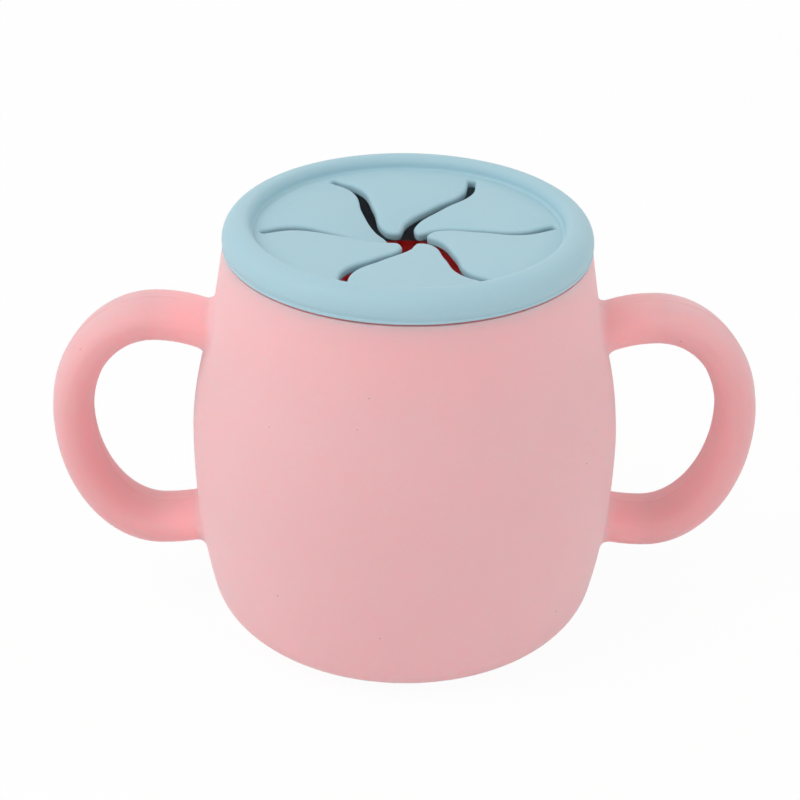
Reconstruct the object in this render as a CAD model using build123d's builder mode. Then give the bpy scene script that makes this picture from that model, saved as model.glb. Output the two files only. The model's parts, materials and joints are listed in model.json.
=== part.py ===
from build123d import *
from math import asin, cos, degrees, radians
import os

# Two-handled toddler training cup of soft moulded silicone, with a press-on snack lid
# whose middle is slit into six flaps. Millimetres, +Z up. The origin is the middle of
# the foot, the handles lie along X and the front is -Y.

# Cup body
body_height = 82.4           # foot to the shoulder that the lid's edge stands over
shoulder_radius = 36.8
shoulder_lean = 8.5          # degrees off upright where the side meets the shoulder
chest_radius = 40.75         # half-way between belly and shoulder
chest_lean = 14.5
belly_radius = 43.9
belly_height = 39.6          # where the barrel is widest
foot_radius = 30.7           # the flat foot, inside the heel's curve
heel_radius = 10.0
heel_lean = 13.0             # degrees off upright where the heel's curve ends
wall = 3.0
floor_thickness = 3.5
foot_recess_radius = 24.0
foot_recess_depth = 0.8
mouth_radius = 32.4
mouth_depth = 3.0            # straight mouth below the shoulder, for the lid's plug
neck_wall = 2.4
neck_height = 2.2            # shoulder to the top of the neck
neck_round = 0.9

# Handles: an oval bar along an upright loop
grip_thickness = 8.2         # across the bar, in the plane of the loop
grip_width = 14.8            # across the bar, along Y
loop_height = 44.7           # height of the loop's furthest point
loop_reach = 68.6            # cup's axis to the middle of the bar, at that point
loop_crown = 50.9            # cup's axis to where the loop is highest and lowest
loop_rise = 21.9             # furthest point up to the crown
loop_drop = 25.9             # furthest point down to the lowest point
upper_root_bend = 27.0       # radius in which the bar turns down towards the cup
lower_root_bend = 40.0       # radius in which it turns up towards the cup
root_fillet = 2.0            # where the bar grows out of the cup

# Lid
lid_gap = 0.3                # lid's edge above the shoulder
lid_fit = 0.15               # the lid's channel and plug around the neck, each side
lid_radius = 37.0
lid_edge_radius = 36.7
lid_edge_round = 0.4
rim_height = 5.8             # lid's edge to the crest
rim_shoulder = 4.2           # crest down to the widest place
crest_radius = 33.1
recess_radius = 31.7
recess_depth = 2.65          # crest down to the top of the membrane
membrane = 1.9
channel_clearance = 0.3      # the lid's channel above the neck
plug_wall = 1.8
plug_drop = 2.3              # lid's edge down to the end of the plug
plug_round = 0.5

# Slits and flaps
flap_count = 6
slit_reach = 29.3            # cup's axis to a slit's outer end
slit_turn = 4.0              # degrees from +X to the first slit's outer end
slit_width = 1.7
slit_root = 2.0              # a slit's distance to one side of its chord at the flaps' tips
slit_root_at = 0.115         # how far out that is, as a share of the reach
slit_crest = 2.4             # its widest bow to that side
slit_crest_at = 0.21
slit_trough = 2.05           # its widest bow to the other side
slit_trough_at = 0.765
tip_round = 1.4              # the tip's corner on the slit that bows away from the flap
tip_corner = 0.6             # the tip's other corner
flap_edge_round = 0.6
flap_droop = 4.5             # degrees that a flap hangs at rest
hinge_gap = 0.3              # flap's rounded hinge edge to the lid's ring

# Heights and places that follow
lid_edge = body_height + lid_gap
lid_top = lid_edge + rim_height
neck_top = body_height + neck_height
neck_radius = mouth_radius + neck_wall
membrane_top = lid_top - recess_depth
membrane_middle = membrane_top - membrane / 2
flap_turn = 360 / flap_count
hinge_line = slit_reach * cos(radians(flap_turn / 2))
hinge_radius = hinge_line - hinge_gap - membrane / 2
upright = Vector(0, 1)

os.makedirs("parts", exist_ok=True)


def barrel_side(inset, floor, top_radius, top_height, top_lean):
    """The barrel's outline from the edge of its foot or floor, round the heel and up."""
    heel = JernArc(start=(foot_radius, floor), tangent=(1, 0),
                   radius=heel_radius - inset, arc_size=90 - heel_lean)
    chest_height = (belly_height + body_height) / 2
    side = Spline(heel @ 1,
                  (belly_radius - inset, belly_height),
                  (chest_radius - inset, chest_height),
                  (top_radius, top_height),
                  tangents=(heel % 1, upright, upright.rotate(Axis.Z, chest_lean),
                            upright.rotate(Axis.Z, top_lean)))
    return heel @ 0, side @ 1


# The barrel's outer form, solid, which the body is hollowed from and the handles grow on
with BuildPart() as barrel:
    with BuildSketch(Plane.YZ):
        with BuildLine():
            foot_edge, shoulder_edge = barrel_side(0, 0, shoulder_radius, body_height,
                                                   shoulder_lean)
            Polyline(shoulder_edge, (0, body_height), (0, 0), foot_edge)
        make_face()
    revolve(axis=Axis.Z)

# The cup: barrel and neck, hollowed to an even wall that thickens to a collar at the mouth
with BuildPart() as cup_body:
    add(barrel.part)
    with BuildSketch(Plane.XY.offset(body_height)):
        Circle(neck_radius)
    extrude(amount=neck_height)
    with BuildSketch(Plane.YZ):
        with BuildLine():
            floor_edge, mouth_edge = barrel_side(wall, floor_thickness, mouth_radius,
                                                 body_height - mouth_depth, 0)
            Polyline(mouth_edge, (mouth_radius, neck_top), (0, neck_top),
                     (0, floor_thickness), floor_edge)
        make_face()
    revolve(axis=Axis.Z, mode=Mode.SUBTRACT)
    fillet(cup_body.edges().group_by(Axis.Z)[-1], neck_round)
    with BuildSketch():
        Circle(foot_recess_radius)
    extrude(amount=foot_recess_depth, mode=Mode.SUBTRACT)

cup_body.part.label = "cup_body"
export_step(cup_body.part, "parts/cup_body.step")

# A handle: the oval bar swept round its loop, blended into the barrel, less the barrel
with BuildPart() as handle_right:
    with BuildLine(Plane.XZ) as loop:
        crown = (loop_crown, loop_height)
        root_run = loop_crown - (shoulder_radius - wall)
        CenterArc((loop_crown, loop_height - loop_drop + lower_root_bend), lower_root_bend,
                  start_angle=-90, arc_size=-degrees(asin(root_run / lower_root_bend)))
        EllipticalCenterArc(crown, loop_reach - loop_crown, loop_drop,
                            start_angle=-90, arc_size=90)
        EllipticalCenterArc(crown, loop_reach - loop_crown, loop_rise,
                            start_angle=0, arc_size=90)
        CenterArc((loop_crown, loop_height + loop_rise - upper_root_bend), upper_root_bend,
                  start_angle=90, arc_size=degrees(asin(root_run / upper_root_bend)))
    path = loop.wires()[0]
    with BuildSketch(Plane(origin=path @ 0, x_dir=(0, 1, 0), z_dir=path % 0)):
        Ellipse(grip_width / 2, grip_thickness / 2)
    sweep(path=path)
    add(barrel.part)
    fillet(handle_right.edges(Select.NEW), root_fillet)
    add(barrel.part, mode=Mode.SUBTRACT)

with BuildPart() as handle_left:
    mirror(handle_right.part, about=Plane.YZ)

handle_right.part.label = "handle_right"
export_step(handle_right.part, "parts/handle_right.step")
handle_left.part.label = "handle_left"
export_step(handle_left.part, "parts/handle_left.step")

# The lid's ring: a round rim over the neck, a plug in the mouth, and the membrane's outer
# part, open in the middle where the flaps hang
with BuildPart() as lid_ring:
    with BuildSketch(Plane.YZ):
        with BuildLine():
            skirt = Polyline((0, membrane_top - membrane),
                             (mouth_radius - lid_fit - plug_wall, membrane_top - membrane),
                             (mouth_radius - lid_fit - plug_wall, lid_edge - plug_drop),
                             (mouth_radius - lid_fit, lid_edge - plug_drop),
                             (mouth_radius - lid_fit, neck_top + channel_clearance),
                             (neck_radius + lid_fit, neck_top + channel_clearance),
                             (neck_radius + lid_fit, lid_edge),
                             (lid_edge_radius, lid_edge),
                             (lid_radius, lid_top - rim_shoulder))
            EllipticalCenterArc((crest_radius, lid_top - rim_shoulder),
                                lid_radius - crest_radius, rim_shoulder,
                                start_angle=0, arc_size=90)
            EllipticalCenterArc((crest_radius, membrane_top),
                                crest_radius - recess_radius, recess_depth,
                                start_angle=90, arc_size=90)
            Polyline((recess_radius, membrane_top), (0, membrane_top), skirt @ 0)
        make_face()
    revolve(axis=Axis.Z)
    fillet(lid_ring.edges().group_by(Axis.Z)[0], plug_round)
    rims = lid_ring.edges().filter_by(GeomType.CIRCLE).sort_by(SortBy.RADIUS)
    fillet(rims.filter_by_position(Axis.Z, lid_edge, lid_edge)[-1], lid_edge_round)
    with BuildSketch(Plane.XY.offset(membrane_top)):
        RegularPolygon(hinge_line, flap_count, major_radius=False,
                       rotation=slit_turn)
    extrude(amount=-membrane, mode=Mode.SUBTRACT)

lid_ring.part.label = "lid_ring"
export_step(lid_ring.part, "parts/lid_ring.step")


def hinge_plane(number):
    """A flap's own plane: on its hinge line, x outwards, drooping towards the axis."""
    middle = slit_turn + (number - 0.5) * flap_turn
    lean = Plane.XY.rotated((0, -flap_droop, 0)).rotated((0, 0, middle))
    hinge_middle = Vector(hinge_radius, 0, membrane_middle).rotate(Axis.Z, middle)
    return Plane(origin=hinge_middle, x_dir=lean.x_dir, z_dir=lean.z_dir)


def slit_side(turn, side):
    """One side of a slit in a flap's plane, turned from the flap's middle line."""
    bow = [(slit_root_at * slit_reach, slit_root), (slit_crest_at * slit_reach, slit_crest),
           (slit_trough_at * slit_reach, -slit_trough), (slit_reach, 0)]
    return Spline(*[Vector(along, aside + side * slit_width / 2).rotate(Axis.Z, turn)
                    - Vector(hinge_radius, 0) for along, aside in bow])


def make_flap(number):
    """One flap between two slits, with a round edge along its hinge line."""
    hinge = hinge_plane(number)
    section = Plane(origin=hinge.origin, x_dir=hinge.x_dir, z_dir=-hinge.y_dir)
    with BuildPart() as flap:
        with BuildSketch(hinge) as outline:
            with BuildLine():
                first = slit_side(-flap_turn / 2, 1)
                last = slit_side(flap_turn / 2, -1)
                Line(first @ 1, last @ 1)
                Line(last @ 0, first @ 0)
            make_face()
            fillet(outline.vertices().sort_by_distance(last @ 0)[0], tip_round)
            fillet(outline.vertices().sort_by_distance(first @ 0)[0], tip_corner)
        extrude(amount=membrane / 2, both=True)
        faces = flap.faces().filter_by(Axis(hinge.origin, hinge.z_dir))
        outwards = Axis(hinge.origin, hinge.x_dir)
        fillet(faces.edges().sort_by(outwards)[:-2], flap_edge_round)
        with BuildSketch(section):
            Circle(membrane / 2)
            Rectangle(slit_reach, slit_reach, align=(Align.MAX, Align.CENTER))
        extrude(amount=slit_reach, both=True, mode=Mode.INTERSECT)
    flap.part.label = f"flap_{number}"
    return flap.part


for number in range(1, flap_count + 1):
    flap = make_flap(number)
    export_step(flap, f"parts/{flap.label}.step")
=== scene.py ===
import json
from collections import namedtuple
from math import asin, atan2, cos, pi, radians, sin, sqrt, tan

import bpy
from bpy.props import FloatProperty, FloatVectorProperty, IntProperty, PointerProperty
from bpy.types import Operator, Panel, PropertyGroup
from mathutils import Matrix, Vector
from mathutils.bvhtree import BVHTree


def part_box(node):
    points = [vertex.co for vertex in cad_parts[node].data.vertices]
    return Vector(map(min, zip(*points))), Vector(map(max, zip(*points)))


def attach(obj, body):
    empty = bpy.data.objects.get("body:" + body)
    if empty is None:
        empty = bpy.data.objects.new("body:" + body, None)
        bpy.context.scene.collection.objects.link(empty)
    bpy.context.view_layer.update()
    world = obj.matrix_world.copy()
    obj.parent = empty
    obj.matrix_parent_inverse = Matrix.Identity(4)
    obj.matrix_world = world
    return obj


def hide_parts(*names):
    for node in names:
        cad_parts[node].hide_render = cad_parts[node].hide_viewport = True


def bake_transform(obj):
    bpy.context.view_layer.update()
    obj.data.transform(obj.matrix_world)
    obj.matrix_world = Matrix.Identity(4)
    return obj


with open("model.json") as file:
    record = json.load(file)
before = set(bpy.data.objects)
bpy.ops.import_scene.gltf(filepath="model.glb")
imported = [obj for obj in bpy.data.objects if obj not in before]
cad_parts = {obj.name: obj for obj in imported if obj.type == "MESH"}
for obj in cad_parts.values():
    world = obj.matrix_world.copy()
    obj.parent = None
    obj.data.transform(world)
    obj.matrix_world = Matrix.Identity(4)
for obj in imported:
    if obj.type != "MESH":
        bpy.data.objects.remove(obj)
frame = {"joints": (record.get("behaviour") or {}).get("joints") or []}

bl_info = {
    "name": "Toddler training cup",
    "version": (1, 0, 0),
    "blender": (4, 5, 0),
    "location": "View3D > Sidebar > Training cup",
    "description": "Models a two-handled silicone training cup and its slit snack lid",
    "category": "Add Mesh",
}

MM = 0.001
TOUCH = 0.001 * MM                   # places nearer than this count as one
MERGE = 0.002 * MM                   # vertices nearer than this become one
SPARE = 1 * MM                       # how far past an edge a form or a test is clear of it
LIES_FLAT = 0.5                      # a face whose normal rises more than this lies flat
SMOOTH_BELOW = radians(35)           # edges that turn less than this are shaded smooth
MIX_A, MIX_B, MIX_COLOUR = 6, 7, 2   # a Mix node's two colour inputs and its colour output
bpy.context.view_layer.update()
cup_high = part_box("cup_body")[1]
handle_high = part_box("handle_right")[1]
lid_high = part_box("lid_ring")[1]
hinges = [joint for joint in frame["joints"] if joint["type"] == "hinge"]
hinge_place = Vector(hinges[0]["pos_m"])
hinge_radius = sqrt(hinge_place.x ** 2 + hinge_place.y ** 2)
first_hinge_turn = atan2(hinge_place.y, hinge_place.x)

# One slit's sizes, out of the rows in FlapSizes
Slit = namedtuple("Slit", "waist_width reach end_bow trough_bow waist_bow")


def from_hex(value):
    """An sRGB hex colour as the linear numbers that shaders take."""
    parts = [int(value[i:i + 2], 16) / 255 for i in (1, 3, 5)]
    return tuple(p / 12.92 if p <= 0.04045 else ((p + 0.055) / 1.055) ** 2.4 for p in parts)


WHITE = (*from_hex("#FFFFFF"), 1)


def length(name, description, default):
    """A size that a user can change, in metres."""
    return FloatProperty(name=name, description=description, default=default, unit="LENGTH",
                         precision=5)


def angle(name, description, degrees):
    """An angle that a user can change."""
    return FloatProperty(name=name, description=description, default=radians(degrees),
                         unit="ROTATION")


def number(name, description, default, unit="NONE"):
    """A plain number that a user can change."""
    return FloatProperty(name=name, description=description, default=default, unit=unit, min=0,
                         precision=3)


def colour(name, description, value):
    """A colour that a user can change."""
    return FloatVectorProperty(name=name, description=description, default=from_hex(value),
                               subtype="COLOR", min=0, max=1)


def lengths(name, description, values):
    """A row of sizes that a user can change, given in millimetres, such as one per slit."""
    return FloatVectorProperty(name=name, description=description, size=len(values),
                               unit="LENGTH", precision=5,
                               default=[value * MM for value in values])


class CupSizes(PropertyGroup):
    """Sizes of the cup's barrel, neck and inside."""
    shoulder_height: length("Shoulder height", "Foot to the shoulder under the lid", 82.4 * MM)
    shoulder_radius: length("Shoulder radius", "Barrel's radius at the shoulder", 36.8 * MM)
    shoulder_lean: angle("Shoulder lean", "Side's lean off upright at the shoulder", 8.5)
    chest_radius: length("Chest radius", "Radius half-way from belly to shoulder", 40.75 * MM)
    chest_lean: angle("Chest lean", "Side's lean off upright at the chest", 14.5)
    belly_radius: length("Belly radius", "Barrel's greatest radius", cup_high.x)
    belly_height: length("Belly height", "Where the barrel is widest", 39.6 * MM)
    foot_radius: length("Foot radius", "Flat foot inside the heel's curve", 30.7 * MM)
    heel_radius: length("Heel radius", "Curve from foot to side", 10.0 * MM)
    heel_lean: angle("Heel lean", "Side's lean off upright where the heel ends", 13.0)
    wall: length("Wall", "Thickness of the silicone wall", 3.0 * MM)
    floor_thickness: length("Floor", "Thickness of the cup's floor", 3.5 * MM)
    recess_radius: length("Recess radius", "Hollow under the foot", 24.0 * MM)
    recess_depth: length("Recess depth", "Depth of the hollow under the foot", 0.8 * MM)
    mouth_radius: length("Mouth radius", "Opening that the lid's plug sits in", 32.4 * MM)
    mouth_depth: length("Mouth depth", "Straight mouth below the shoulder", 3.0 * MM)
    neck_wall: length("Neck wall", "Thickness of the neck", 2.4 * MM)
    neck_round: length("Neck rounding", "Rounding of the neck's top edges", 0.9 * MM)
    inside_steps: IntProperty(name="Inside steps", description="Facets round the inside",
                              default=160, min=12)
    skin_grid: length("Skin grid", "Spacing of the points on the joined skin", 0.8 * MM)
    root_blend: length("Root blend", "How far the soft corner at a handle's root reaches", 3.2 * MM)
    root_passes: IntProperty(name="Root passes", description="Smoothing passes at the roots",
                             default=14, min=0)
    ridge_height: length("Parting ridge", "Height of the mould's parting line", 0.14 * MM)
    ridge_half: length("Ridge half width", "Half the width of the parting line", 0.45 * MM)
    ridge_belt: length("Ridge belt", "How far off the line its surroundings reach", 3 * MM)


class HandleSizes(PropertyGroup):
    """Sizes of the two handles."""
    grip_thickness: length("Grip thickness", "Across the bar, in the loop's plane", 8.2 * MM)
    grip_width: length("Grip width", "Across the bar, along Y", 14.8 * MM)
    loop_height: length("Loop height", "Height of the loop's furthest point", 44.7 * MM)
    loop_reach: length("Loop reach", "Cup's axis to the bar's middle there", 68.6 * MM)
    loop_crown: length("Loop crown", "Cup's axis to the highest point", 50.9 * MM)
    loop_rise: length("Loop rise", "Furthest point up to the crown", 21.9 * MM)
    loop_drop: length("Loop drop", "Furthest point down to the lowest", 25.9 * MM)
    upper_root_bend: length("Upper root bend", "Radius of the bend to the upper root", 27.0 * MM)
    lower_root_bend: length("Lower root bend", "Radius of the bend to the lower root", 40.0 * MM)


class LidSizes(PropertyGroup):
    """Sizes of the lid's rim, plug and membrane."""
    edge_height: length("Edge height", "Foot to the lid's lower edge", 82.7 * MM)
    edge_radius: length("Edge radius", "Radius of the flat lower edge", 36.4 * MM)
    edge_round: length("Edge rounding", "Height of the lower edge's rounding", 0.3 * MM)
    lip_radius: length("Lip radius", "Radius of the fine lip at the lower edge", 36.94 * MM)
    lip_height: length("Lip height", "Lower edge up to the lip's top", 0.65 * MM)
    lip_slope: length("Lip slope", "Height in which the lip runs out upwards", 0.2 * MM)
    side_radius: length("Side radius", "Radius of the rim's side just above the lip",
                        36.78 * MM)
    rim_shoulder: length("Rim shoulder", "Crest down to the widest place", 4.2 * MM)
    crest_radius: length("Crest radius", "Radius of the rim's highest line", 32.9 * MM)
    recess_radius: length("Recess radius", "Radius of the crease round the membrane", 31.15 * MM)
    recess_depth: length("Recess depth", "Crest down to the membrane", 2.65 * MM)
    crease_round: length("Crease rounding", "Soft corner from rim to membrane", 0.75 * MM)
    membrane: length("Membrane", "Thickness of the slit membrane", 1.9 * MM)
    tuck: length("Tuck", "How far the flaps' roots reach in under the rim", 0.4 * MM)
    plug_radius: length("Plug radius", "Outside of the plug in the cup's mouth", 32.25 * MM)
    plug_wall: length("Plug wall", "Thickness of the plug", 1.8 * MM)
    plug_round: length("Plug rounding", "Rounding of the plug's end", 0.5 * MM)
    plug_drop: length("Plug drop", "Lid's edge down to the plug's end", 13.2 * MM)
    channel_radius: length("Channel radius", "Outside of the channel round the neck", 34.95 * MM)
    channel_height: length("Channel height", "Foot to the channel's roof", 84.9 * MM)


class FlapSizes(PropertyGroup):
    """Sizes of the slits and the flaps between them."""
    slit_width: length("Slit width", "How wide the slits gape at crest and trough", 1.85 * MM)
    waist_widths: lengths("Waist widths", "How wide each slit gapes at its waist",
                          (1.8, 1.9, 2.7, 1.7, 1.6, 2.3))
    end_width: length("End width", "How wide the slits gape at their outer ends", 1.5 * MM)
    slit_reaches: lengths("Slit reaches", "Cup's axis to each slit's outer end",
                          (29.5, 29.1, 29.0, 29.2, 28.9, 29.2))
    end_bows: lengths("End bows", "Each slit's distance off its chord at its end",
                      (-0.2, -1.2, -1.0, -0.5, -0.4, -0.1))
    trough_bows: lengths("Trough bows", "Each slit's widest bow away from the crest's side",
                         (-2.45, -2.9, -2.8, -2.35, -2.1, -2.4))
    waist_bows: lengths("Waist bows", "Each slit's distance off its chord at its waist",
                        (0.0, 0.0, 0.0, -0.1, 0.3, 0.1))
    end_slant: number("End slant", "Slope of a slit's end against square across", 0.35)
    end_round: length("End rounding", "Rounding in plan of a slit's outer end", 0.4 * MM)
    root_at: length("Root place", "Cup's axis to where the slit starts", 3.37 * MM)
    root_bow: length("Root bow", "Slit's distance off its chord there", 2.0 * MM)
    crest_at: length("Crest place", "Where the slit bows most to that side", 6.15 * MM)
    crest_bow: length("Crest bow", "The widest bow to that side", 2.4 * MM)
    waist_at: length("Waist place", "Where the slit crosses over its chord", 14.2 * MM)
    trough_at: length("Trough place", "Where the slit bows most to the other side", 22.4 * MM)
    tip_at: length("Tip place", "Cup's axis to the flap's tip", 3.75 * MM)
    tip_bow: length("Tip bow", "The tip's distance off the slit's chord", -0.55 * MM)
    lobe_at: length("Lobe place", "Cup's axis to where the tip is roundest", 4.35 * MM)
    lobe_bow: length("Lobe bow", "That place's distance off the slit's chord", 0.6 * MM)
    top_round: length("Top rounding", "Rounding of the slits' upper edges", 0.75 * MM)
    under_round: length("Under rounding", "Rounding of the slits' lower edges", 0.3 * MM)
    round_past: length("Rounding past the end", "How far past a slit's end it is still rounded",
                       0.3 * MM)
    rows: IntProperty(name="Rows", description="Rows of points per stretch of a slit",
                      default=9, min=2)
    strips: IntProperty(name="Strips", description="Strips that a flap bends in",
                        default=16, min=4)
    bend_half: length("Bend half length", "Half the length of membrane that bends", 1.2 * MM)
    droop: FloatVectorProperty(name="Droop", description="How far each flap's tip leans down",
                               size=6, unit="ROTATION",
                               default=[radians(d) for d in (11.5, 11.2, 14.8, 7.4, 7.2, 5.6)])


class Colours(PropertyGroup):
    """Colours of the two silicones and the stage."""
    cup: colour("Cup", "Rose pink silicone", "#FDBEC1")
    # Painted shade: a deeper rose put on the handles' bars to stand in for how they look under the
    # light
    cup_painted_shade: colour("Cup, thick bars", "Rose pink where the silicone is thick", "#E8B4B7")
    lid: colour("Lid", "Grey blue silicone", "#A6C9D4")
    dust: colour("Dust", "Specks that cling to soft silicone", "#B98A8E")
    floor: colour("Floor", "Pale floor", "#F4F4F4")


class SiliconeFinish(PropertyGroup):
    """Patterns, gloss and clearness of the moulded silicones."""
    cloud_size: length("Cloud size", "Width of the faint clouds in the pigment", 40 * MM)
    cloud_depth: number("Cloud depth", "Share by which they change the colour", 0.025)
    # Where the painted shade on the handles' bars starts and where it is full, off the cup's axis
    painted_shade_from: length("Thick from", "Off the cup's axis, where the deeper colour starts",
                       42 * MM)
    painted_shade_to: length("Thick to", "Off the cup's axis, where it is full", 52 * MM)
    speck_spacing: length("Speck spacing", "Distance between specks of dust", 9 * MM)
    speck_share: number("Speck size", "Radius of a speck as a share of the spacing", 0.02)
    grain_size: length("Grain size", "Width of the mould's grain, as drawn", 0.35 * MM)
    grain_depth: length("Grain depth", "Depth of the mould's grain, as drawn", 0.02 * MM)
    grain_strength: number("Grain strength", "How much of the grain shows", 0.35)
    wear_size: length("Wear size", "Width of the patches that handling leaves", 15 * MM)
    smoothest: number("Smoothest", "Roughness where handling has smoothed the skin", 0.52)
    roughest: number("Roughest", "Roughness of the skin as moulded", 0.66)
    ior: number("IOR", "Silicone rubber's index of refraction", 1.41)
    sheen: number("Sheen", "Weight of the soft sheen at grazing angles", 0.12)
    sheen_spread: number("Sheen spread", "Roughness of that sheen", 0.5)
    cup_clearness: number("Cup's clearness", "How much light goes in", 1.0)
    cup_light_reach: lengths("Cup's light reach", "How far red, green and blue light go in",
                             (5, 0.9, 0.7))
    lid_clearness: number("Lid's clearness", "How much light goes in", 0.3)
    lid_light_reach: lengths("Lid's light reach", "How far red, green and blue light go in",
                             (2.0, 0.9, 0.8))


class StageSizes(PropertyGroup):
    """Where the camera and the lamps stand."""
    camera_distance: length("Camera distance", "Camera to the middle of the lid's edge", 432.4 * MM)
    camera_lift: angle("Camera lift", "Camera's height above the lid's level", 24.23)
    camera_turn: angle("Camera turn", "Camera's turn round the cup", -1.24)
    camera_roll: angle("Camera roll", "Camera's roll", 0.878)
    aim_side: length("Aim to the side", "Side step of the point that is aimed at", -1.084 * MM)
    aim_drop: length("Aim drop", "Lid's edge down to the point that is aimed at", 35.47 * MM)
    lens: number("Lens", "Focal length in millimetres", 97.35)
    sensor: number("Sensor", "Width of the camera's sensor in millimetres", 36)
    nearest_seen: length("Nearest seen", "Distance from which the camera sees", 10 * MM)
    floor_size: length("Floor size", "Side of the square floor", 4000 * MM)
    key_place: lengths("Key lamp's place", "Middle of the big soft lamp", (-680, -270, 860))
    key_size: length("Key lamp's size", "Side of the big soft lamp", 800 * MM)
    key_power: number("Key lamp's power", "Power of the big soft lamp", 4.4, "POWER")
    fill_place: lengths("Fill lamp's place", "Middle of the lamp on the right",
                        (900, -300, 340))
    fill_size: length("Fill lamp's size", "Side of the lamp on the right", 600 * MM)
    fill_power: number("Fill lamp's power", "Power of the lamp on the right", 1.0, "POWER")
    sky: number("Sky", "Strength of the even light all round", 0.72)
    floor_glow: number("Floor glow", "How white the floor looks, from 0 to 1", 0.95)


def only(*objects):
    """Selects these objects alone and makes the first one active."""
    if bpy.context.object and bpy.context.object.mode != "OBJECT":
        bpy.ops.object.mode_set(mode="OBJECT")
    bpy.ops.object.select_all(action="DESELECT")
    for piece in objects:
        piece.select_set(True)
    bpy.context.view_layer.objects.active = objects[0]


def pick(piece, kind, wanted):
    """Opens a piece in edit mode with only those vertices, edges or faces selected that
    pass a test."""
    only(piece)
    bpy.ops.object.mode_set(mode="EDIT")
    select_modes = {"vertices": "VERT", "edges": "EDGE", "polygons": "FACE"}
    bpy.ops.mesh.select_mode(type=select_modes[kind])
    bpy.ops.mesh.select_all(action="DESELECT")
    bpy.ops.object.mode_set(mode="OBJECT")
    for part in getattr(piece.data, kind):
        part.select = wanted(part)
    bpy.ops.object.mode_set(mode="EDIT")


def pick_all(piece, kind="vertices"):
    """Opens a piece in edit mode with everything selected."""
    pick(piece, kind, lambda part: True)


def close_seams():
    """Merges doubled vertices of what is selected, and turns its faces outwards."""
    bpy.ops.mesh.remove_doubles(threshold=MERGE)
    bpy.ops.mesh.normals_make_consistent(inside=False)


def done(piece):
    """Leaves edit mode and gives the piece back."""
    bpy.ops.object.mode_set(mode="OBJECT")
    return piece


def apply_modifier(piece, kind, **settings):
    """Adds a modifier and applies it."""
    only(piece)
    bpy.ops.object.modifier_add(type=kind)
    modifier = piece.modifiers[-1]
    for name, value in settings.items():
        setattr(modifier, name, value)
    bpy.ops.object.modifier_apply(modifier=modifier.name)


def arc_reach(radius, sweep):
    """How long a curve's handles are to make an arc of this radius and sweep."""
    return 4 / 3 * tan(sweep / 4) * radius


def bezier(name, knots, grain):
    """A curve through knots. Each knot is a place and its handles back and ahead, or None
    where the line runs straight. Grain is points per stretch between knots."""
    bpy.ops.object.select_all(action="DESELECT")
    bpy.ops.curve.primitive_bezier_curve_add()
    curve = bpy.context.object
    curve.name = name
    curve.data.resolution_u = grain
    spline = curve.data.splines[0]
    spline.bezier_points.add(len(knots) - 2)
    places = [Vector(place) for place, _, _ in knots]
    last = len(knots) - 1
    for i, (knot, (_, back, ahead)) in enumerate(zip(spline.bezier_points, knots)):
        straight_back = (places[max(i - 1, 0)] - places[i]) / 3
        straight_ahead = (places[min(i + 1, last)] - places[i]) / 3
        knot.handle_left_type = knot.handle_right_type = "FREE"
        knot.co = places[i]
        knot.handle_left = places[i] + (Vector(back) if back else straight_back)
        knot.handle_right = places[i] + (Vector(ahead) if ahead else straight_ahead)
    return curve


def revolve(name, knots, grain, steps):
    """A closed solid of revolution about the cup's axis. Knots are radius and height, grain
    is points per stretch between knots, and steps is facets round."""
    def upright(pair):
        return (pair[0], 0, pair[1]) if pair else None
    curve = bezier(name, [tuple(map(upright, knot)) for knot in knots], grain)
    only(curve)
    bpy.ops.object.convert(target="MESH")
    piece = bpy.context.object
    pick_all(piece)
    bpy.ops.mesh.spin(steps=steps, angle=2 * pi, center=(0, 0, 0), axis=(0, 0, 1))
    bpy.ops.mesh.select_all(action="SELECT")
    close_seams()
    return done(piece)


def barrel_side(cup, inset, floor, top_radius, top_height, top_lean):
    """Knots of the barrel's outline from the edge of its foot or floor up."""
    radius = cup.heel_radius - inset
    lean = cup.heel_lean
    heel_turn = pi / 2 - lean
    heel = Vector((cup.foot_radius + radius * cos(lean), floor + radius - radius * sin(lean)))
    heel_way = Vector((sin(lean), cos(lean)))
    chest_height = (cup.belly_height + cup.shoulder_height) / 2
    stops = [(heel, heel_way),
             (Vector((cup.belly_radius - inset, cup.belly_height)), Vector((0, 1))),
             (Vector((cup.chest_radius - inset, chest_height)),
              Vector((-sin(cup.chest_lean), cos(cup.chest_lean)))),
             (Vector((top_radius, top_height)), Vector((-sin(top_lean), cos(top_lean))))]
    knots = [((cup.foot_radius, floor), None, (arc_reach(radius, heel_turn), 0))]
    for i, (place, way) in enumerate(stops):
        back = arc_reach(radius, heel_turn) if i == 0 else (place - stops[i - 1][0]).length / 3
        ahead = (stops[i + 1][0] - place).length / 3 if i < len(stops) - 1 else 0
        knots.append((place, -way * back, way * ahead if ahead else None))
    return knots


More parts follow.
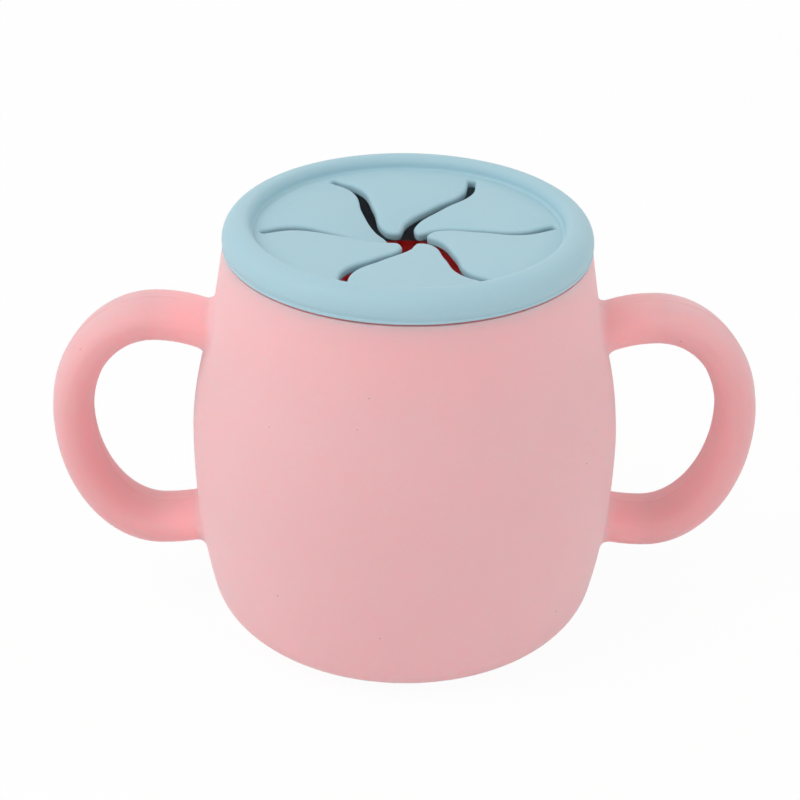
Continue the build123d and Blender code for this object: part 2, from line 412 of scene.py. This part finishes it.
def handle_bar(sizes, cup):
    """The right handle's oval bar, swept along its loop."""
    run = sizes.loop_crown - (cup.shoulder_radius - cup.wall)
    low_turn = asin(run / sizes.lower_root_bend)
    high_turn = asin(run / sizes.upper_root_bend)
    low = sizes.loop_height - sizes.loop_drop
    high = sizes.loop_height + sizes.loop_rise
    oval = arc_reach(1, pi / 2)
    low_reach = arc_reach(sizes.lower_root_bend, low_turn)
    high_reach = arc_reach(sizes.upper_root_bend, high_turn)
    side = (sizes.loop_reach - sizes.loop_crown) * oval
    start = sizes.loop_crown - run
    knots = [
        ((start, 0, low + sizes.lower_root_bend * (1 - cos(low_turn))), None,
         (low_reach * cos(low_turn), 0, -low_reach * sin(low_turn))),
        ((sizes.loop_crown, 0, low), (-low_reach, 0, 0), (side, 0, 0)),
        ((sizes.loop_reach, 0, sizes.loop_height), (0, 0, -sizes.loop_drop * oval),
         (0, 0, sizes.loop_rise * oval)),
        ((sizes.loop_crown, 0, high), (side, 0, 0), (-high_reach, 0, 0)),
        ((start, 0, high - sizes.upper_root_bend * (1 - cos(high_turn))),
         (high_reach * cos(high_turn), 0, high_reach * sin(high_turn)), None),
    ]
    bar = bezier("handle_bar", knots, grain=32)
    bpy.ops.curve.primitive_bezier_circle_add(radius=sizes.grip_width / 2)
    section = bpy.context.object
    section.data.resolution_u = 24
    for knot in section.data.splines[0].bezier_points:
        for place in (knot.co, knot.handle_left, knot.handle_right):
            place.y *= sizes.grip_thickness / sizes.grip_width
    bar.data.dimensions = "3D"
    bar.data.bevel_mode = "OBJECT"
    bar.data.bevel_object = section
    bar.data.use_fill_caps = True
    only(bar)
    bpy.ops.object.convert(target="MESH")
    bar = bpy.context.object
    bpy.data.objects.remove(section)
    pick_all(bar)
    close_seams()
    return done(bar)


def surface_of(piece):
    """A tree that finds the nearest place on a piece's surface."""
    return BVHTree.FromPolygons([v.co for v in piece.data.vertices],
                                [p.vertices for p in piece.data.polygons])


def copy_of(piece, name):
    """A copy of a piece with a mesh of its own."""
    only(piece)
    bpy.ops.object.duplicate()
    twin = bpy.context.object
    twin.name = name
    return twin


def node(tree, kind, links=(), **settings):
    """Adds a shader node with its settings, and links (socket from, input name) to it."""
    made = tree.nodes.new(kind)
    for name, value in settings.items():
        if name in made.inputs:
            made.inputs[name].default_value = value
        else:
            setattr(made, name, value)
    for source, target in links:
        tree.links.new(source, made.inputs[target])
    return made


def new_material(name):
    """An empty node material, its tree and its output."""
    material = bpy.data.materials.new(name)
    material.use_nodes = True
    tree = material.node_tree
    tree.nodes.clear()
    return material, tree, node(tree, "ShaderNodeOutputMaterial")


def silicone(name, tone, painted_shade, dust, finish, clearness, light_reach):
    """Platinum-cured silicone rubber, compression moulded in a blasted steel mould: a soft matt
    skin with a broad weak sheen, that lets light into its depth. Painted shade is the deeper tone
    painted onto the handles' bars, standing in for how they look under the light, or None."""
    material, tree, output = new_material(name)
    place = node(tree, "ShaderNodeTexCoord").outputs["Object"]
    # Faint clouds in the pigment
    cloud = node(tree, "ShaderNodeTexNoise", [(place, "Vector")], Detail=2.0,
                 Scale=1 / finish.cloud_size)
    shade = node(tree, "ShaderNodeMapRange", [(cloud.outputs["Fac"], "Value")],
                 **{"To Min": 1 - finish.cloud_depth, "To Max": 1 + finish.cloud_depth})
    tint = node(tree, "ShaderNodeVectorMath", [(shade.outputs["Result"], "Scale")],
                operation="SCALE")
    tint.inputs[0].default_value = tone
    if painted_shade:
        # Painted shade: the handles' bars stand off the cup's axis, and there the tone is deepened
        # to stand in for how they look under the light
        aside = node(tree, "ShaderNodeSeparateXYZ", [(place, "Vector")])
        side = node(tree, "ShaderNodeMath", [(aside.outputs["X"], 0)], operation="ABSOLUTE")
        darkened = node(tree, "ShaderNodeMapRange", [(side.outputs[0], "Value")],
                     **{"From Min": finish.painted_shade_from, "From Max": finish.painted_shade_to})
        # The pigment's own tone, turning into the painted shade on the handles' bars
        pigment = node(tree, "ShaderNodeMix", [(darkened.outputs["Result"], "Factor")],
                       data_type="RGBA")
        pigment.inputs[MIX_A].default_value = (*tone, 1)
        pigment.inputs[MIX_B].default_value = (*painted_shade, 1)
        tree.links.new(pigment.outputs[MIX_COLOUR], tint.inputs[0])
    # Silicone draws dust: a speck under half a millimetre across here and there
    specks = node(tree, "ShaderNodeTexVoronoi", [(place, "Vector")],
                  Scale=1 / finish.speck_spacing)
    on_speck = node(tree, "ShaderNodeMath", [(specks.outputs["Distance"], 0)],
                    operation="LESS_THAN")
    on_speck.inputs[1].default_value = finish.speck_share
    base = node(tree, "ShaderNodeMix", [(on_speck.outputs[0], "Factor"),
                                        (tint.outputs[0], MIX_A)], data_type="RGBA")
    base.inputs[MIX_B].default_value = (*dust, 1)
    # The blasted mould's grain is about 0.05 mm, drawn coarser so that it shows
    grain = node(tree, "ShaderNodeTexNoise", [(place, "Vector")], Detail=3.0,
                 Scale=1 / finish.grain_size)
    bump = node(tree, "ShaderNodeBump", [(grain.outputs["Fac"], "Height")],
                Strength=finish.grain_strength, Distance=finish.grain_depth)
    # Skin oil and handling leave it a little smoother in patches
    wear = node(tree, "ShaderNodeTexNoise", [(place, "Vector")], Detail=3.0,
                Scale=1 / finish.wear_size)
    matt = node(tree, "ShaderNodeMapRange", [(wear.outputs["Fac"], "Value")],
                **{"To Min": finish.smoothest, "To Max": finish.roughest})
    # The light's reach is in metres, so its scale is 1
    shader = node(tree, "ShaderNodeBsdfPrincipled",
                  [(base.outputs[MIX_COLOUR], "Base Color"),
                   (bump.outputs["Normal"], "Normal"),
                   (matt.outputs["Result"], "Roughness")],
                  **{"IOR": finish.ior, "Sheen Weight": finish.sheen,
                     "Sheen Roughness": finish.sheen_spread,
                     "Subsurface Weight": clearness, "Subsurface Radius": light_reach,
                     "Subsurface Scale": 1.0})
    tree.links.new(shader.outputs["BSDF"], output.inputs["Surface"])
    return material


def finish_piece(piece, material):
    """Gives a finished piece its shading, material and slot."""
    only(piece)
    bpy.ops.object.shade_smooth_by_angle(angle=SMOOTH_BELOW)
    piece.data.materials.clear()
    piece.data.materials.append(material)


def parting_line(skin, cup):
    """Raises the fine ridge that the two halves of the mould leave at Y = 0."""
    past_barrel = cup.belly_radius + SPARE

    def near_line(p):
        # On the handles, or on the barrel's outer side clear of its foot
        across = abs(p.center.x)
        outside = p.normal.x * p.center.x > 0 or across > past_barrel
        return abs(p.center.y) < cup.ridge_belt and across > cup.foot_radius and outside
    for offset in (-cup.ridge_half, 0, cup.ridge_half):
        pick(skin, "polygons", near_line)
        bpy.ops.mesh.bisect(plane_co=(0, offset, 0), plane_no=(0, 1, 0))
        done(skin)
    wanted = set()
    for p in skin.data.polygons:
        if near_line(p):
            wanted.update(i for i in p.vertices if abs(skin.data.vertices[i].co.y) < TOUCH)
    pick(skin, "vertices", lambda v: v.index in wanted)
    bpy.ops.transform.shrink_fatten(value=cup.ridge_height)
    done(skin)
    # It is trimmed flush at the foot and at the handles' furthest points
    for i in wanted:
        place = skin.data.vertices[i].co
        place.z = max(place.z, 0)
        place.x = max(min(place.x, handle_high.x), -handle_high.x)


def raw_barrel(cup):
    """The barrel's outer form, solid, with spare material over its shoulder and neck."""
    neck = cup.mouth_radius + cup.neck_wall + SPARE
    shoulder = cup.shoulder_height + SPARE
    top = cup_high.z + SPARE
    side = barrel_side(cup, 0, 0, cup.shoulder_radius - SPARE * sin(cup.shoulder_lean),
                       shoulder, cup.shoulder_lean)
    outline = [((0, 0), None, None), *side, ((neck, shoulder), None, None),
               ((neck, top), None, None), ((0, top), None, None)]
    return revolve("barrel", outline, grain=24, steps=256)


def both_bars(cup, handles):
    """The oval bars of both handles as one piece, the left a mirror image of the right."""
    bars = handle_bar(handles, cup)
    other = copy_of(bars, "other_bar")
    pick_all(other)
    bpy.ops.transform.resize(value=(-1, 1, 1), center_override=(0, 0, 0))
    bpy.ops.mesh.normals_make_consistent(inside=False)
    done(other)
    only(bars, other)
    bpy.ops.object.join()
    return bars


def joined_skin(cup, barrel, bars):
    """One skin over barrel and bars, with soft corners at the handles' roots. It takes the
    place of both."""
    surfaces = [surface_of(barrel), surface_of(bars)]
    target = copy_of(barrel, "skin_target")
    only(target, bars)
    bpy.ops.object.join()

    skin = copy_of(target, "cup_moulding")
    apply_modifier(skin, "REMESH", mode="VOXEL", voxel_size=cup.skin_grid)
    roots = skin.vertex_groups.new(name="roots")
    for v in skin.data.vertices:
        if abs(v.co.x) < cup.mouth_radius:
            continue
        off = max(surface.find_nearest(v.co)[3] for surface in surfaces)
        if off < cup.root_blend:
            # Full in the nearer half of the reach, then fading out
            nearness = min(1, 2 * (1 - off / cup.root_blend))
            roots.add([v.index], nearness, "REPLACE")
    apply_modifier(skin, "SMOOTH", factor=0.5, iterations=cup.root_passes,
                   vertex_group="roots")
    apply_modifier(skin, "SHRINKWRAP", target=target, vertex_group="roots",
                   invert_vertex_group=True)
    bpy.data.objects.remove(target)
    bpy.data.objects.remove(barrel)
    return skin


def hollow_out(skin, cup):
    """Cuts the cup's inside, the step round its neck and the recess under its foot."""
    neck_radius = cup.mouth_radius + cup.neck_wall
    neck_top = cup_high.z
    inner = barrel_side(cup, cup.wall, cup.floor_thickness, cup.mouth_radius,
                        cup.shoulder_height - cup.mouth_depth, 0)
    r = cup.neck_round
    bow = arc_reach(r, pi / 2)
    # The cutter takes off what is spare: it goes well past the barrel, and over its top
    clear = 60 * MM
    past_top = neck_top + 2 * SPARE
    cut = [((0, cup.floor_thickness), None, None), *inner,
           ((cup.mouth_radius, neck_top - r), None, (0, bow)),
           ((cup.mouth_radius + r, neck_top), (-bow, 0), None),
           ((neck_radius - r, neck_top), None, (bow, 0)),
           ((neck_radius, neck_top - r), (0, bow), None),
           ((neck_radius, cup.shoulder_height), None, None),
           ((clear, cup.shoulder_height), None, None),
           ((clear, past_top), None, None),
           ((0, past_top), None, None)]
    hollow = revolve("hollow", cut, grain=10, steps=cup.inside_steps)
    bpy.ops.object.select_all(action="DESELECT")
    bpy.ops.mesh.primitive_cylinder_add(vertices=cup.inside_steps, location=(0, 0, 0),
                                        radius=cup.recess_radius, depth=2 * cup.recess_depth)
    recess = bpy.context.object
    only(hollow, recess)
    bpy.ops.object.join()
    apply_modifier(skin, "BOOLEAN", operation="DIFFERENCE", object=hollow, solver="EXACT")
    bpy.data.objects.remove(hollow)


class TRAININGCUP_OT_cup(Operator):
    """Model the cup: barrel, neck, inside and both handles in one moulding"""
    bl_idname = "training_cup.cup"
    bl_label = "Cup and handles"

    def execute(self, context):
        cup = context.scene.cup_sizes
        colours = context.scene.cup_colours
        finish = context.scene.silicone_finish
        skin = joined_skin(cup, raw_barrel(cup), both_bars(cup, context.scene.handle_sizes))
        hollow_out(skin, cup)
        parting_line(skin, cup)
        # Rose pigment passes red light furthest, so the inside glows red through the wall
        material = silicone("rose_silicone", colours.cup, colours.cup_painted_shade, colours.dust,
                            finish, finish.cup_clearness, finish.cup_light_reach)
        finish_piece(skin, material)
        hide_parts("cup_body", "handle_left", "handle_right")
        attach(skin, "cup")
        return {"FINISHED"}


def rim_profile(lid):
    """Knots of the lid's profile, from the plug's inside down, round under the rim, over its
    crest and into the membrane."""
    top = lid_high.z
    membrane_top = top - lid.recess_depth
    membrane_middle = membrane_top - lid.membrane / 2
    plug_inside = lid.plug_radius - lid.plug_wall
    plug_end = lid.edge_height - lid.plug_drop
    r = lid.plug_round
    bow = arc_reach(r, pi / 2)
    lip_top = lid.edge_height + lid.lip_height
    edge_bow = arc_reach(lid.edge_round, pi / 2)
    oval = arc_reach(1, pi / 2)
    out = (lid_high.x - lid.crest_radius) * oval
    into = (lid.crest_radius - lid.recess_radius) * oval
    soft = lid.crease_round
    return [
        ((plug_inside, membrane_middle), None, None),
        ((plug_inside, plug_end + r), None, (0, -bow)),
        ((plug_inside + r, plug_end), (-bow, 0), None),
        ((lid.plug_radius - r, plug_end), None, (bow, 0)),
        ((lid.plug_radius, plug_end + r), (0, -bow), None),
        ((lid.plug_radius, lid.channel_height), None, None),
        ((lid.channel_radius, lid.channel_height), None, None),
        ((lid.channel_radius, lid.edge_height), None, None),
        ((lid.edge_radius, lid.edge_height), None, (edge_bow, 0)),
        ((lid.lip_radius, lid.edge_height + lid.edge_round), (0, -edge_bow), None),
        ((lid.lip_radius, lip_top), None, None),
        ((lid.side_radius, lip_top + lid.lip_slope), None, None),
        ((lid_high.x, top - lid.rim_shoulder), None, (0, lid.rim_shoulder * oval)),
        ((lid.crest_radius, top), (out, 0), (-into, 0)),
        ((lid.recess_radius, membrane_top + soft), (0, (lid.recess_depth - soft) * oval),
         (0, -soft * oval)),
        ((lid.recess_radius - soft, membrane_top), (soft * oval, 0), None),
        ((lid.recess_radius - soft, membrane_middle), None, None),
        ((plug_inside, membrane_middle), None, None),
    ]


class TRAININGCUP_OT_lid(Operator):
    """Model the lid's round rim with its channel and plug"""
    bl_idname = "training_cup.lid"
    bl_label = "Lid rim"

    def execute(self, context):
        colours = context.scene.cup_colours
        finish = context.scene.silicone_finish
        profile = rim_profile(context.scene.lid_sizes)
        rim = revolve("lid_rim", profile, grain=10, steps=240)
        material = silicone("grey_blue_silicone", colours.lid, None, colours.dust, finish,
                            finish.lid_clearness, finish.lid_light_reach)
        finish_piece(rim, material)
        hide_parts("lid_ring")
        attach(rim, "lid")
        return {"FINISHED"}


def turn(amount, axis, centre):
    """Turns what is selected in edit mode about an axis, by the right-hand rule."""
    bpy.ops.transform.rotate(value=-amount, orient_axis=axis, orient_type="GLOBAL",
                             center_override=centre)


def slit_side(flaps, slit, side):
    """Places along one side of a slit, from its outer end in to its crest. X is along its
    chord, and side is 1 or -1."""
    end = side * flaps.end_width / 2
    aside = side * flaps.slit_width / 2
    waist = side * slit.waist_width / 2
    return [Vector((slit.reach - end * flaps.end_slant, slit.end_bow + end, 0)),
            Vector((flaps.trough_at, slit.trough_bow + aside, 0)),
            Vector((flaps.waist_at, slit.waist_bow + waist, 0)),
            Vector((flaps.crest_at, flaps.crest_bow + aside, 0))]


def flap_outline(flaps, sector, slits):
    """A flap's outline in plan, its middle along +X, from slit end to slit end by its tip,
    and the turns of its two slits' chords."""
    chords = [Matrix.Rotation(way, 3, "Z") for way in (-sector / 2, sector / 2)]
    root = Vector((flaps.root_at, flaps.root_bow + flaps.slit_width / 2, 0))
    tip = [(flaps.tip_at, flaps.tip_bow, 0), (flaps.lobe_at, flaps.lobe_bow, 0)]
    route = [chords[0] @ place for place in [*slit_side(flaps, slits[0], 1), root]]
    route += [chords[1] @ Vector(place) for place in tip]
    route += [chords[1] @ place for place in reversed(slit_side(flaps, slits[1], -1))]
    curve = bezier("flap_outline", [(place, None, None) for place in route], flaps.rows)
    for knot in curve.data.splines[0].bezier_points:
        knot.handle_left_type = knot.handle_right_type = "AUTO"
    only(curve)
    bpy.ops.object.convert(target="MESH")
    return bpy.context.object, chords


def nearest(piece, place):
    """The index of the vertex nearest to a place."""
    return min(piece.data.vertices, key=lambda v: (v.co - Vector(place)).length).index


def close_outline(slab, flaps, lid, chords, slits):
    """Closes a flap's outline from its slits' ends to an arc out of sight under the rim, and
    fills it. Each slit's end gets its corner rounded."""
    under = lid.recess_radius + lid.tuck
    rim_ends = []
    corners = []
    for chord, side, slit in zip(chords, (1, -1), slits):
        stops = [chord @ Vector(place) for place in (slit_side(flaps, slit, side)[0],
                                                     (slit.reach, slit.end_bow, 0),
                                                     (under, 0, 0))]
        start = nearest(slab, stops[0])
        pick(slab, "vertices", lambda v: v.index == start)
        for before, after in zip(stops, stops[1:]):
            bpy.ops.mesh.extrude_region_move(TRANSFORM_OT_translate={"value": after - before})
        done(slab)
        rim_ends.append(nearest(slab, stops[-1]))
        corners.append(stops[0])
    pick(slab, "vertices", lambda v: v.index in rim_ends)
    bpy.ops.mesh.edge_face_add()
    bpy.ops.mesh.subdivide(number_cuts=6)
    done(slab)
    for v in slab.data.vertices:
        if v.select:
            v.co *= under / v.co.length
    pick_all(slab)
    bpy.ops.mesh.edge_face_add()
    bpy.ops.mesh.select_all(action="DESELECT")
    done(slab)
    ends = [nearest(slab, corner) for corner in corners]
    pick(slab, "vertices", lambda v: v.index in ends)
    bpy.ops.mesh.bevel(offset=flaps.end_round, segments=4, affect="VERTICES")
    done(slab)


def round_slit_edges(slab, flaps, height, radius):
    """Rounds the edges at this height that lie along the slits."""
    flat_edges = set()
    for p in slab.data.polygons:
        if abs(p.normal.z) > LIES_FLAT and abs(p.center.z - height) < TOUCH:
            flat_edges.update(p.edge_keys)
    reach = max(flaps.slit_reaches) + flaps.round_past

    def on_slit(e):
        ends = [slab.data.vertices[i].co for i in e.vertices]
        return e.key in flat_edges and max(end.xy.length for end in ends) < reach
    pick(slab, "edges", on_slit)
    bpy.ops.mesh.bevel(offset=radius, segments=5, affect="EDGES")
    done(slab)


def flap_slab(flaps, lid, level, sector, slits):
    """A flat flap with its middle along +X, its edges rounded and cut into strips across, so
    that it bends smoothly."""
    slab, chords = flap_outline(flaps, sector, slits)
    close_outline(slab, flaps, lid, chords, slits)
    pick_all(slab)
    bpy.ops.transform.translate(value=(0, 0, level))
    done(slab)
    if slab.data.polygons[0].normal.z < 0:
        pick_all(slab, "polygons")
        bpy.ops.mesh.flip_normals()
        done(slab)
    apply_modifier(slab, "SOLIDIFY", thickness=lid.membrane, offset=-1)
    round_slit_edges(slab, flaps, level, flaps.top_round)
    round_slit_edges(slab, flaps, level - lid.membrane, flaps.under_round)
    for place in strip_places(flaps):
        pick_all(slab, "polygons")
        bpy.ops.mesh.bisect(plane_co=(place, 0, 0), plane_no=(1, 0, 0))
        done(slab)
    return slab


def strip_places(flaps):
    """Where a flap is cut across, from its root towards its tip."""
    root = hinge_radius + flaps.bend_half
    step = (root - flaps.tip_at) / flaps.strips
    return [root - step * i for i in range(flaps.strips)]


def hang(slab, flaps, hinge_height, droop):
    """Bends a flap down evenly from its root to its tip."""
    places = strip_places(flaps)
    step = places[0] - places[1]
    bend = droop / len(places)
    pivot = Vector((places[0], 0, hinge_height))
    lean = 0
    for _ in places:
        pick(slab, "vertices", lambda v: v.co.x < pivot.x - TOUCH)
        turn(-bend, "Y", pivot)
        done(slab)
        lean += bend
        pivot += Vector((-step * cos(lean), 0, -step * sin(lean)))


class TRAININGCUP_OT_flaps(Operator):
    """Model the six flaps between the lid's slits, each bending from the lid at its root"""
    bl_idname = "training_cup.flaps"
    bl_label = "Flaps"

    def execute(self, context):
        flaps = context.scene.flap_sizes
        lid = context.scene.lid_sizes
        material = bpy.data.materials["grey_blue_silicone"]
        level = lid_high.z - lid.recess_depth
        sector = 2 * pi / len(hinges)
        slits = [Slit(*sizes) for sizes in zip(flaps.waist_widths, flaps.slit_reaches,
                                               flaps.end_bows, flaps.trough_bows,
                                               flaps.waist_bows)]
        for i, hinge in enumerate(hinges):
            beside = (slits[i], slits[(i + 1) % len(slits)])
            middle = Vector(hinge["pos_m"])
            flap = flap_slab(flaps, lid, level, sector, beside)
            flap.name = f"{hinge['child']}_skin"
            hang(flap, flaps, middle.z, flaps.droop[i])
            pick_all(flap)
            turn(first_hinge_turn + i * sector, "Z", (0, 0, 0))
            done(flap)
            finish_piece(flap, material)
            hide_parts(hinge["child"])
            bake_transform(flap)
        return {"FINISHED"}


def seen_directly(tree):
    """1 where the camera, a mirror or a clear piece looks at the background, or else 0."""
    rays = node(tree, "ShaderNodeLightPath")
    total = rays.outputs["Is Camera Ray"]
    for kind in ("Is Glossy Ray", "Is Transmission Ray"):
        total = node(tree, "ShaderNodeMath", [(total, 0), (rays.outputs[kind], 1)],
                     operation="MAXIMUM").outputs[0]
    return total


def lay_floor(stage, tone):
    """A pale matt floor, which keeps the cup's shadow and looks nearly white."""
    bpy.ops.object.select_all(action="DESELECT")
    bpy.ops.mesh.primitive_plane_add(size=stage.floor_size, location=(0, 0, 0))
    floor = bpy.context.object
    floor.name = "floor"
    material, tree, output = new_material("pale_floor")
    matt = node(tree, "ShaderNodeBsdfDiffuse", Color=(*tone, 1))
    white = node(tree, "ShaderNodeEmission", Strength=1.0, Color=WHITE)
    seen = node(tree, "ShaderNodeMath", [(seen_directly(tree), 0)], operation="MULTIPLY")
    seen.inputs[1].default_value = stage.floor_glow
    mix = node(tree, "ShaderNodeMixShader",
               [(seen.outputs[0], 0), (matt.outputs[0], 1), (white.outputs[0], 2)])
    tree.links.new(mix.outputs[0], output.inputs["Surface"])
    floor.data.materials.append(material)


def light_sky(scene, stage):
    """Even white light all round, and a white background behind it."""
    world = bpy.data.worlds.new("soft_sky")
    scene.world = world
    world.use_nodes = True
    tree = world.node_tree
    tree.nodes.clear()
    sky = node(tree, "ShaderNodeBackground", Strength=stage.sky, Color=WHITE)
    white = node(tree, "ShaderNodeBackground", Strength=1.0, Color=WHITE)
    mix = node(tree, "ShaderNodeMixShader",
               [(seen_directly(tree), 0), (sky.outputs[0], 1), (white.outputs[0], 2)])
    node(tree, "ShaderNodeOutputWorld", [(mix.outputs[0], "Surface")])


def hang_lamps(stage):
    """Two soft square lamps that face the middle of the cup."""
    middle = Vector((0, 0, cup_high.z / 2))
    lamps = (("key_lamp", stage.key_place, stage.key_size, stage.key_power),
             ("fill_lamp", stage.fill_place, stage.fill_size, stage.fill_power))
    for name, place, size, power in lamps:
        bpy.ops.object.light_add(type="AREA", location=place)
        lamp = bpy.context.object
        lamp.name = name
        lamp.data.size = size
        lamp.data.energy = power
        lamp.rotation_euler = (lamp.location - middle).to_track_quat("Z", "Y").to_euler()


def aim_camera(scene, stage, level):
    """The camera, which turns and lifts about the cup's axis at this level."""
    lift = stage.camera_lift
    back = Vector((0, -cos(lift), sin(lift))) * stage.camera_distance
    aim = Vector((stage.aim_side, 0, -stage.aim_drop))
    ahead = (aim - back).normalized()
    right = ahead.cross(Vector((0, 0, 1))).normalized()
    above = right.cross(ahead)
    right = right * cos(stage.camera_roll) + above * sin(stage.camera_roll)
    above = right.cross(ahead)
    turned = Matrix((right, above, -ahead)).transposed()
    swing = Matrix.Rotation(stage.camera_turn, 4, "Z")
    raised = Matrix.Translation((0, 0, level))
    bpy.ops.object.camera_add()
    camera = bpy.context.object
    camera.matrix_world = raised @ swing @ Matrix.Translation(back) @ turned.to_4x4()
    camera.data.lens = stage.lens
    camera.data.sensor_width = stage.sensor
    camera.data.clip_start = stage.nearest_seen
    scene.camera = camera


class TRAININGCUP_OT_stage(Operator):
    """Set up the floor, the lamps and the camera"""
    bl_idname = "training_cup.stage"
    bl_label = "Stage"

    def execute(self, context):
        scene = context.scene
        lay_floor(scene.stage_sizes, scene.cup_colours.floor)
        light_sky(scene, scene.stage_sizes)
        hang_lamps(scene.stage_sizes)
        aim_camera(scene, scene.stage_sizes, scene.lid_sizes.edge_height)
        scene.view_settings.view_transform = "Standard"
        return {"FINISHED"}


class TRAININGCUP_PT_panel(Panel):
    """Lists the steps that model the cup"""
    bl_idname = "TRAININGCUP_PT_panel"
    bl_label = "Training cup"
    bl_space_type = "VIEW_3D"
    bl_region_type = "UI"
    bl_category = "Training cup"

    def draw(self, context):
        for operator in operators:
            self.layout.operator(operator.bl_idname)


operators = (TRAININGCUP_OT_cup, TRAININGCUP_OT_lid, TRAININGCUP_OT_flaps,
             TRAININGCUP_OT_stage)
groups = {"cup_sizes": CupSizes, "handle_sizes": HandleSizes, "lid_sizes": LidSizes,
          "flap_sizes": FlapSizes, "cup_colours": Colours, "silicone_finish": SiliconeFinish,
          "stage_sizes": StageSizes}


def register():
    for group in groups.values():
        bpy.utils.register_class(group)
    for name, group in groups.items():
        setattr(bpy.types.Scene, name, PointerProperty(type=group))
    for operator in operators:
        bpy.utils.register_class(operator)
    bpy.utils.register_class(TRAININGCUP_PT_panel)


def unregister():
    bpy.utils.unregister_class(TRAININGCUP_PT_panel)
    for operator in reversed(operators):
        bpy.utils.unregister_class(operator)
    for name, group in groups.items():
        delattr(bpy.types.Scene, name)
        bpy.utils.unregister_class(group)


def main():
    register()
    bpy.ops.training_cup.cup()
    bpy.ops.training_cup.lid()
    bpy.ops.training_cup.flaps()
    bpy.ops.training_cup.stage()


if __name__ == "__main__":
    main()
